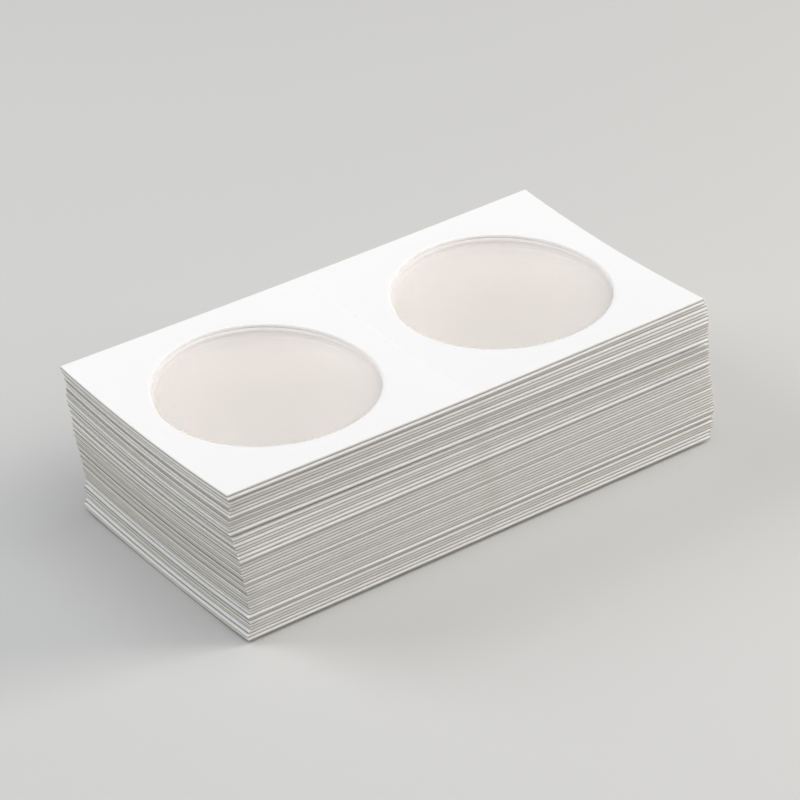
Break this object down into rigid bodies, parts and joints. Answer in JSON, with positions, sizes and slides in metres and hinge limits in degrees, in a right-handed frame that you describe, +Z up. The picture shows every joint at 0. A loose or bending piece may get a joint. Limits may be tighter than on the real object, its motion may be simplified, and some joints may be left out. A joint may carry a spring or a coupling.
{
  "type": "coin holder pack",
  "caption": "Stack of flat cardboard coin holders with round film windows; the top one lifts off and folds at its crease over a coin, the others pull out endways.",
  "frame": {"origin": "under the middle of the lowest holder, on the surface that the pack lies on", "axes": "+Z up through the pack, +X along the holders' long side, +Y along their short side"},
  "size_m": [0.1041, 0.0522, 0.0299],
  "materials": {
    "board": "smooth white, matt",
    "film": "clear film, slightly milky"
  },
  "bodies": {
    "holder_01": {"holder_01": "board"},
    "holder_02": {"holder_02": "board"},
    "holder_03": {"holder_03": "board"},
    "holder_04": {"holder_04": "board"},
    "holder_05": {"holder_05": "board"},
    "holder_06": {"holder_06": "board"},
    "holder_07": {"holder_07": "board"},
    "holder_08": {"holder_08": "board"},
    "holder_09": {"holder_09": "board"},
    "holder_10": {"holder_10": "board"},
    "holder_11": {"holder_11": "board"},
    "holder_12": {"holder_12": "board"},
    "holder_13": {"holder_13": "board"},
    "holder_14": {"holder_14": "board"},
    "holder_15": {"holder_15": "board"},
    "holder_16": {"holder_16": "board"},
    "holder_17": {"holder_17": "board"},
    "holder_18": {"holder_18": "board"},
    "holder_19": {"holder_19": "board"},
    "holder_20": {"holder_20": "board"},
    "holder_21": {"holder_21": "board"},
    "holder_22": {"holder_22": "board"},
    "holder_23": {"holder_23": "board"},
    "holder_24": {"holder_24": "board"},
    "holder_25": {"holder_25": "board"},
    "holder_26": {"holder_26": "board"},
    "holder_27": {"holder_27": "board"},
    "holder_28": {"holder_28": "board"},
    "holder_29": {"holder_29": "board"},
    "holder_30": {"holder_30": "board"},
    "holder_31": {"holder_31": "board"},
    "holder_32": {"holder_32": "board"},
    "holder_33": {"holder_33": "board"},
    "holder_34": {"holder_34": "board"},
    "holder_35": {"holder_35": "board"},
    "holder_36": {"holder_36": "board"},
    "holder_37": {"holder_37": "board"},
    "holder_38": {"holder_38": "board"},
    "holder_39": {"holder_39": "board"},
    "holder_40": {"holder_40": "board"},
    "holder_41": {"holder_41": "board"},
    "holder_42": {"holder_42": "board"},
    "holder_43": {"holder_43": "board"},
    "holder_44": {"holder_44": "board"},
    "holder_45": {"holder_45": "board"},
    "holder_46": {"holder_46": "board"},
    "holder_47": {"holder_47": "board"},
    "holder_48": {"holder_48": "board"},
    "holder_49": {"holder_49": "board"},
    "top_left": {"top_left_leaf": "board", "top_left_film": "film"},
    "top_right": {"top_right_leaf": "board", "top_right_film": "film"}
  },
  "joints": [
    {"name": "lift_top", "type": "slide", "parent": "holder_01", "child": "top_left", "axis": [0, 0, 1], "range_m": [0, 0.05]},
    {"name": "fold_top", "type": "hinge", "parent": "top_left", "child": "top_right", "pos_m": [-0.00317, -0.00068, 0.0315], "axis": [-0.0003, -1, 0], "range_deg": [0, 180]},
    {"name": "pull_02", "type": "slide", "parent": "holder_01", "child": "holder_02", "axis": [-1, 0, 0], "range_m": [0, 0.103]},
    {"name": "pull_03", "type": "slide", "parent": "holder_01", "child": "holder_03", "axis": [-1, 0, 0], "range_m": [0, 0.103]},
    {"name": "pull_04", "type": "slide", "parent": "holder_01", "child": "holder_04", "axis": [-1, 0, 0], "range_m": [0, 0.103]},
    {"name": "pull_05", "type": "slide", "parent": "holder_01", "child": "holder_05", "axis": [-1, 0, 0], "range_m": [0, 0.103]},
    {"name": "pull_06", "type": "slide", "parent": "holder_01", "child": "holder_06", "axis": [-1, 0, 0], "range_m": [0, 0.103]},
    {"name": "pull_07", "type": "slide", "parent": "holder_01", "child": "holder_07", "axis": [-1, 0, 0], "range_m": [0, 0.103]},
    {"name": "pull_08", "type": "slide", "parent": "holder_01", "child": "holder_08", "axis": [-1, 0, 0], "range_m": [0, 0.103]},
    {"name": "pull_09", "type": "slide", "parent": "holder_01", "child": "holder_09", "axis": [-1, 0, 0], "range_m": [0, 0.103]},
    {"name": "pull_10", "type": "slide", "parent": "holder_01", "child": "holder_10", "axis": [-1, 0, 0], "range_m": [0, 0.103]},
    {"name": "pull_11", "type": "slide", "parent": "holder_01", "child": "holder_11", "axis": [-1, 0, 0], "range_m": [0, 0.103]},
    {"name": "pull_12", "type": "slide", "parent": "holder_01", "child": "holder_12", "axis": [-1, 0, 0], "range_m": [0, 0.103]},
    {"name": "pull_13", "type": "slide", "parent": "holder_01", "child": "holder_13", "axis": [-1, 0, 0], "range_m": [0, 0.103]},
    {"name": "pull_14", "type": "slide", "parent": "holder_01", "child": "holder_14", "axis": [-1, 0, 0], "range_m": [0, 0.103]},
    {"name": "pull_15", "type": "slide", "parent": "holder_01", "child": "holder_15", "axis": [-1, 0, 0], "range_m": [0, 0.103]},
    {"name": "pull_16", "type": "slide", "parent": "holder_01", "child": "holder_16", "axis": [-1, 0, 0], "range_m": [0, 0.103]},
    {"name": "pull_17", "type": "slide", "parent": "holder_01", "child": "holder_17", "axis": [-1, 0, 0], "range_m": [0, 0.103]},
    {"name": "pull_18", "type": "slide", "parent": "holder_01", "child": "holder_18", "axis": [-1, 0, 0], "range_m": [0, 0.103]},
    {"name": "pull_19", "type": "slide", "parent": "holder_01", "child": "holder_19", "axis": [-1, 0, 0], "range_m": [0, 0.103]},
    {"name": "pull_20", "type": "slide", "parent": "holder_01", "child": "holder_20", "axis": [-1, 0, 0], "range_m": [0, 0.103]},
    {"name": "pull_21", "type": "slide", "parent": "holder_01", "child": "holder_21", "axis": [-1, 0, 0], "range_m": [0, 0.103]},
    {"name": "pull_22", "type": "slide", "parent": "holder_01", "child": "holder_22", "axis": [-1, 0, 0], "range_m": [0, 0.103]},
    {"name": "pull_23", "type": "slide", "parent": "holder_01", "child": "holder_23", "axis": [-1, 0, 0], "range_m": [0, 0.103]},
    {"name": "pull_24", "type": "slide", "parent": "holder_01", "child": "holder_24", "axis": [-1, 0, 0], "range_m": [0, 0.103]},
    {"name": "pull_25", "type": "slide", "parent": "holder_01", "child": "holder_25", "axis": [-1, 0, 0], "range_m": [0, 0.103]},
    {"name": "pull_26", "type": "slide", "parent": "holder_01", "child": "holder_26", "axis": [-1, 0, 0], "range_m": [0, 0.103]},
    {"name": "pull_27", "type": "slide", "parent": "holder_01", "child": "holder_27", "axis": [-1, 0, 0], "range_m": [0, 0.103]},
    {"name": "pull_28", "type": "slide", "parent": "holder_01", "child": "holder_28", "axis": [-1, 0, 0], "range_m": [0, 0.103]},
    {"name": "pull_29", "type": "slide", "parent": "holder_01", "child": "holder_29", "axis": [-1, 0, 0], "range_m": [0, 0.103]},
    {"name": "pull_30", "type": "slide", "parent": "holder_01", "child": "holder_30", "axis": [-1, 0, 0], "range_m": [0, 0.103]},
    {"name": "pull_31", "type": "slide", "parent": "holder_01", "child": "holder_31", "axis": [-1, 0, 0], "range_m": [0, 0.103]},
    {"name": "pull_32", "type": "slide", "parent": "holder_01", "child": "holder_32", "axis": [-1, 0, 0], "range_m": [0, 0.103]},
    {"name": "pull_33", "type": "slide", "parent": "holder_01", "child": "holder_33", "axis": [-1, 0, 0], "range_m": [0, 0.103]},
    {"name": "pull_34", "type": "slide", "parent": "holder_01", "child": "holder_34", "axis": [-1, 0, 0], "range_m": [0, 0.103]},
    {"name": "pull_35", "type": "slide", "parent": "holder_01", "child": "holder_35", "axis": [-1, 0, 0], "range_m": [0, 0.103]},
    {"name": "pull_36", "type": "slide", "parent": "holder_01", "child": "holder_36", "axis": [-1, 0, 0], "range_m": [0, 0.103]},
    {"name": "pull_37", "type": "slide", "parent": "holder_01", "child": "holder_37", "axis": [-1, 0, 0], "range_m": [0, 0.103]},
    {"name": "pull_38", "type": "slide", "parent": "holder_01", "child": "holder_38", "axis": [-1, 0, 0], "range_m": [0, 0.103]},
    {"name": "pull_39", "type": "slide", "parent": "holder_01", "child": "holder_39", "axis": [-1, 0, 0], "range_m": [0, 0.103]},
    {"name": "pull_40", "type": "slide", "parent": "holder_01", "child": "holder_40", "axis": [-1, 0, 0], "range_m": [0, 0.103]},
    {"name": "pull_41", "type": "slide", "parent": "holder_01", "child": "holder_41", "axis": [-1, 0, 0], "range_m": [0, 0.103]},
    {"name": "pull_42", "type": "slide", "parent": "holder_01", "child": "holder_42", "axis": [-1, 0, 0], "range_m": [0, 0.103]},
    {"name": "pull_43", "type": "slide", "parent": "holder_01", "child": "holder_43", "axis": [-1, 0, 0], "range_m": [0, 0.103]},
    {"name": "pull_44", "type": "slide", "parent": "holder_01", "child": "holder_44", "axis": [-1, 0, 0], "range_m": [0, 0.103]},
    {"name": "pull_45", "type": "slide", "parent": "holder_01", "child": "holder_45", "axis": [-1, 0, 0], "range_m": [0, 0.103]},
    {"name": "pull_46", "type": "slide", "parent": "holder_01", "child": "holder_46", "axis": [-1, 0, 0], "range_m": [0, 0.103]},
    {"name": "pull_47", "type": "slide", "parent": "holder_01", "child": "holder_47", "axis": [-1, 0, 0], "range_m": [0, 0.103]},
    {"name": "pull_48", "type": "slide", "parent": "holder_01", "child": "holder_48", "axis": [-1, 0, 0], "range_m": [0, 0.103]},
    {"name": "pull_49", "type": "slide", "parent": "holder_01", "child": "holder_49", "axis": [-1, 0, 0], "range_m": [0, 0.103]}
  ]
}
